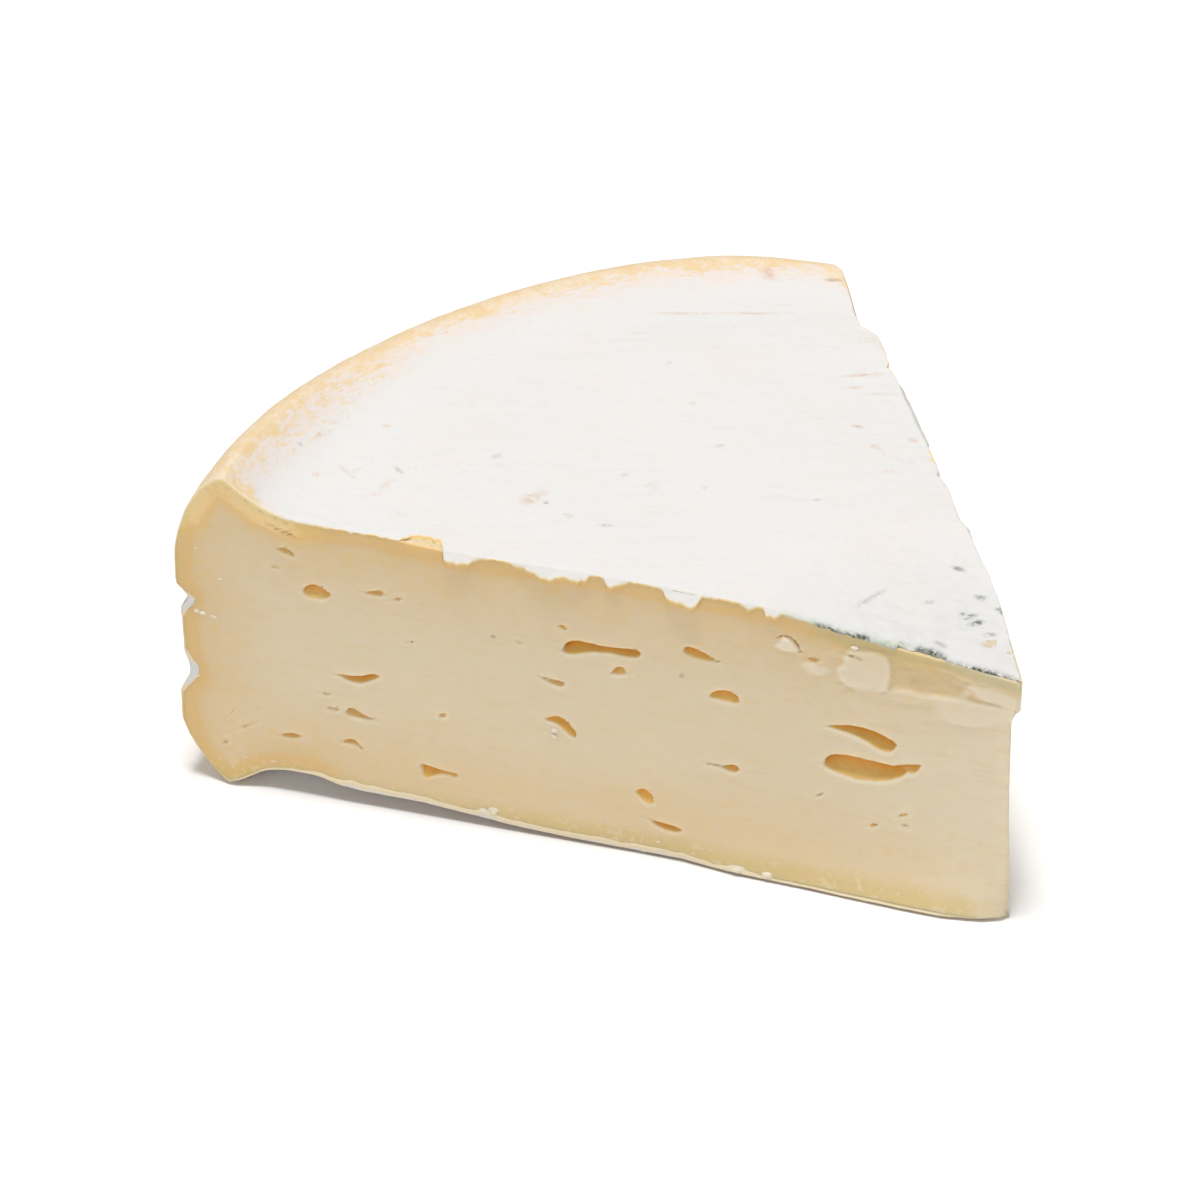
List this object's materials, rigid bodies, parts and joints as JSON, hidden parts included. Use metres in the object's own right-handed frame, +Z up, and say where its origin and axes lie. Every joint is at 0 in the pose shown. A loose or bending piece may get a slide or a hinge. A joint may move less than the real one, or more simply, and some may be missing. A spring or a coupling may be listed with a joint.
{
  "type": "cheese wedge",
  "caption": "Wedge of soft-ripened cheese with a white rind, a raised lip, and small eyes in its cut faces, standing on its flat base.",
  "frame": {"origin": "centre of the bounding box, on the plane the wedge stands on", "axes": "+Z up; +X towards the tip along the first cut face, which faces -Y; the rim faces -X"},
  "size_m": [0.1166, 0.0944, 0.049],
  "materials": {
    "cheese": "satin, slightly moist pale ivory paste"
  },
  "bodies": {
    "root": {"cheese_wedge": "cheese"}
  },
  "joints": []
}
